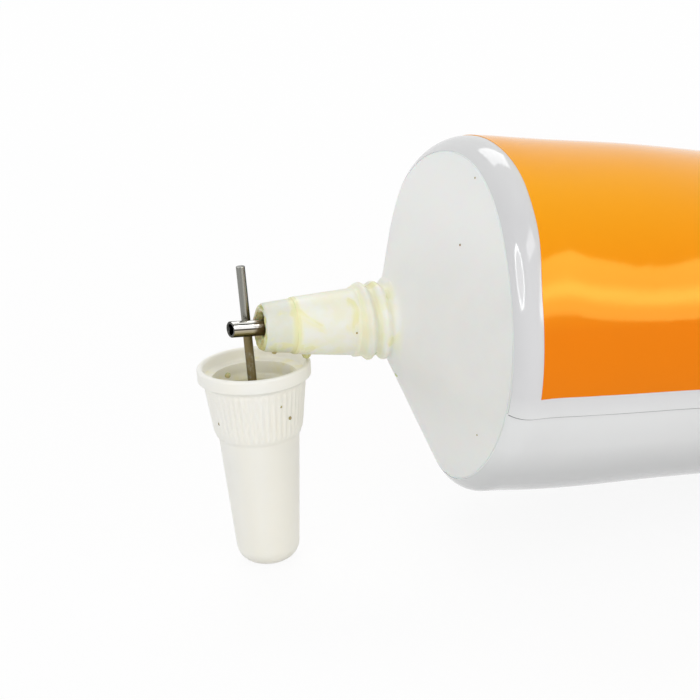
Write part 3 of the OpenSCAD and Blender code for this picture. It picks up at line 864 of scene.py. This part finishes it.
# Dried glue
def recess_glue():
    """Glue that has dried in the open end of the nozzle, round the needle."""
    profile = [(HUB_R + 0.01, HUB_TOP - 0.1), (HUB_R + 0.01, TIP_Z - 0.35),
               (HUB_R - 0.15, TIP_Z - 0.62), (HUB_R - 0.45, TIP_Z - 0.78),
               (NEEDLE_R + 0.25, TIP_Z - 0.66), (NEEDLE_R - 0.01, TIP_Z - 0.4),
               (NEEDLE_R - 0.01, HUB_TOP - 0.1)]

    def relief(angle, r, z):
        inside = NEEDLE_R < r < HUB_R
        return 0.06 * noise.noise(Vector((math.cos(angle), math.sin(angle), z)) * 2) if inside else 0.0
    points, faces = lathe(profile, 64, relief, closed=True)
    piece("recess_glue", points, faces, at_tube, "tube", brown_glue)


def tip_collar():
    """Glue that has swollen over the edge of the recess, most on its far side."""
    profile = [(HUB_R - 0.25, TIP_Z - 0.5), (HUB_R - 0.2, TIP_Z - 0.05), (HUB_R - 0.02, TIP_Z + 0.22),
               (HUB_R + 0.28, TIP_Z + 0.3), (HUB_R + 0.55, TIP_Z + 0.16), (TIP_R - 0.1, TIP_Z - 0.15),
               (HUB_R + 0.3, TIP_Z - 0.3), (HUB_R + 0.1, TIP_Z - 0.5)]
    points, faces = lathe(profile, 96, closed=True)
    foot = 0.15
    grown = []
    for x, y, z in points:
        wave = noise.noise(Vector((x, y, 0)) * 0.9)
        rise = 0.75 + 0.45 * y / TIP_R - 0.2 * x / TIP_R + 0.35 * wave
        grown.append((x, y, TIP_Z - foot + (z - TIP_Z + foot) * rise if z > TIP_Z - foot else z))
    piece("tip_collar", grown, faces, at_tube, "tube", amber_glue)


def drops(name, place, body, finish, spots):
    """Drops and specks: balls pressed to a size on their place's axes, with a soft uneven surface."""
    points, faces = [], []
    for centre, size in spots:
        build = bmesh.new()
        bmesh.ops.create_icosphere(build, subdivisions=4 if max(size) > 0.2 else 2, radius=1)
        first = len(points)
        for vert in build.verts:
            grow = 1 + 0.16 * noise.noise(vert.co * 1.6 + Vector(centre))
            points.append([c + s * v * grow for c, s, v in zip(centre, size, vert.co)])
        faces += [[first + vert.index for vert in face.verts] for face in build.faces]
        build.free()
    piece(name, points, faces, place, body, finish)


sleeve_skin()
print_film()
lap_edge()
shoulder_moulding()
needle_tube()
cap_moulding()
cap_wire()
recess_glue()
tip_collar()
drops("tube_drops", at_tube, "tube", amber_glue, [
    ((-1.25, -0.5, TIP_Z - 0.2), (0.45, 0.7, 0.3)),
    ((-3.25, 0.2, STEP_Z - 1.75), (0.5, 0.6, 0.5)),
    ((-6.2, -0.2, CONE_H - 1.05), (0.2, 0.4, 0.12))])
drops("tube_specks", at_tube, "tube", brown_glue, [
    ((-2.5, -0.8, TIP_Z - 1.2), (0.2, 0.28, 0.28)),
    ((15.89, -5.29, -0.19), (0.13, 0.13, 0.06)),
    ((9.69, -8.06, 2.22), (0.14, 0.14, 0.07)),
    ((-9.26, -12.16, 1.16), (0.11, 0.11, 0.06)),
    ((-0.22, -3.49, 11.45), (0.12, 0.06, 0.12))])
drops("cap_drops", at_cap, "cap", amber_glue, [((-2.1, 3.95, CAP_LEN - 2.3), (0.4, 0.3, 0.3))])
drops("cap_specks", at_cap, "cap", brown_glue, [
    ((1.41, -4.95, 18.79), (0.14, 0.08, 0.14)),
    ((2.43, -4.3, 17.19), (0.16, 0.1, 0.22)),
    ((-4.52, -1.5, 16.73), (0.1, 0.2, 0.18))])
for node, finish in (("needle_hub", brown_glue), ("adhesive_fill", amber_glue)):
    frame["nodes"][node].data.materials.clear()
    frame["nodes"][node].data.materials.append(finish)


# Camera
def make_camera():
    """The photo's camera, from its place, its three angles and its focus."""
    ahead = -Vector((math.sin(CAMERA_AZIMUTH) * math.cos(CAMERA_ELEVATION),
                     -math.cos(CAMERA_AZIMUTH) * math.cos(CAMERA_ELEVATION), math.sin(CAMERA_ELEVATION)))
    level = ahead.cross(Vector((0, 0, 1))).normalized()
    above = level.cross(ahead)
    right = level * math.cos(CAMERA_ROLL) + above * math.sin(CAMERA_ROLL)
    data = bpy.data.cameras.new("camera")
    data.sensor_width = SENSOR_MM
    data.lens = SENSOR_MM * CAMERA_FOCUS_PX / PICTURE_PX
    data.clip_start = CAMERA_CLIP
    camera = bpy.data.objects.new("camera", data)
    bpy.context.scene.collection.objects.link(camera)
    camera.matrix_world = Matrix((right, right.cross(ahead), -ahead)).transposed().to_4x4()
    camera.location = CAMERA_AT
    bpy.context.scene.camera = camera


# Stage and light
def seen_directly(tree):
    """1 for rays that show the background, straight or mirrored, and 0 for those that light."""
    path = add(tree, "ShaderNodeLightPath").outputs
    seen = calc(tree, "MAXIMUM", path["Is Camera Ray"], path["Is Glossy Ray"])
    return calc(tree, "MAXIMUM", seen, path["Is Transmission Ray"])


def make_floor(size=6.0, glow=0.9, bounce=0.67):
    """White where it is looked at, with the object's shadow, and pale for the light it sends back."""
    mesh = bpy.data.meshes.new("floor")
    half = size / 2
    corners = [(-half, -half, 0), (half, -half, 0), (half, half, 0), (-half, half, 0)]
    mesh.from_pydata(corners, [], [(0, 1, 2, 3)])
    made = bpy.data.materials.new("floor")
    made.use_nodes = True
    tree = made.node_tree
    tree.nodes.clear()
    seen = seen_directly(tree)
    tone = remap(tree, seen, 0.0, 1.0, bounce, 1.0, soft=False)
    matt = add(tree, "ShaderNodeBsdfDiffuse", {"Color": tone}).outputs[0]
    light = add(tree, "ShaderNodeEmission", {"Color": colour(1, 1, 1), "Strength": 1.0}).outputs[0]
    share = calc(tree, "MULTIPLY", seen, glow)
    mixed = add(tree, "ShaderNodeMixShader", {0: share, 1: matt, 2: light}).outputs[0]
    add(tree, "ShaderNodeOutputMaterial", {"Surface": mixed})
    mesh.materials.append(made)
    floor = bpy.data.objects.new("floor", mesh)
    bpy.context.scene.collection.objects.link(floor)


def make_world(level=0.66):
    """White where it is looked at, and an even soft light on the object."""
    world = bpy.data.worlds.new("studio")
    bpy.context.scene.world = world
    world.use_nodes = True
    tree = world.node_tree
    background = tree.nodes["Background"]
    background.inputs["Color"].default_value = colour(1, 1, 1)
    strength = remap(tree, seen_directly(tree), 0.0, 1.0, level, 1.0, soft=False)
    tree.links.new(strength, background.inputs["Strength"])


def make_lamp(name, at, aim, size, watts, lit=True, mirrored=True, roll=0.0):
    """An area lamp that lights plain surfaces, shows in glossy ones, or both."""
    data = bpy.data.lights.new(name, "AREA")
    data.shape = "RECTANGLE"
    data.size, data.size_y = size
    data.energy = watts
    lamp = bpy.data.objects.new(name, data)
    bpy.context.scene.collection.objects.link(lamp)
    lamp.location = at
    level = (Vector(aim) - Vector(at)).to_track_quat("-Z", "Y")
    lamp.rotation_euler = (level @ Quaternion((0, 0, 1), math.radians(roll))).to_euler()
    lamp.visible_camera = False
    lamp.visible_diffuse = lit
    lamp.visible_glossy = mirrored
    return data


def shape_lamp(data, axis_scale, near, far, near_level, far_level):
    """Makes a lamp's light change with the distance from its middle, on a disc or across a softbox."""
    data.use_nodes = True
    tree = data.node_tree
    place = add(tree, "ShaderNodeNewGeometry").outputs["Parametric"]
    centred = add(tree, "ShaderNodeVectorMath", {0: place, 1: (-0.5, -0.5, 0)}, operation="ADD")
    reach = from_axis(tree, axes(tree, stretched(tree, centred.outputs["Vector"], axis_scale)))
    level = remap(tree, reach, near, far, near_level, far_level)
    tree.links.new(level, tree.nodes["Emission"].inputs["Strength"])


make_camera()
make_floor()
make_world()
make_lamp("wide_back", (0.04, 0.56, 0.73), (-0.05, 0, 0.03), (0.6, 0.3), 1.75)
make_lamp("fill_left", (-0.735, -0.585, 0.18), (-0.06, 0, 0.03), (0.9, 0.3), 2.25, mirrored=False)
make_lamp("fill_right", (0.42, -0.77, 0.2), (-0.05, 0, 0.03), (0.9, 0.3), 2.1, mirrored=False)
strip = make_lamp("strip_right", (0.425, -0.655, 0.466), (-0.014, 0.047, 0.115), (0.9, 0.23), 3.1,
                  lit=False, roll=40)
shape_lamp(strip, (0, 1, 0), 0.0, 0.25, 1.5, 0.75)
make_lamp("square_front", (0.096, -0.489, 0.761), (-0.058, -0.015, 0.036), (0.52, 0.2), 1.05, lit=False)
ring = make_lamp("ring_left", (-0.623, -0.309, 0.415), (-0.06, -0.016, 0.033), (0.38, 0.44), 6.8,
                 lit=False)
ring.shape = "ELLIPSE"
shape_lamp(ring, (1, 1, 0), 0.42, 0.44, 0.12, 1.0)
bpy.context.scene.view_settings.view_transform = "Standard"
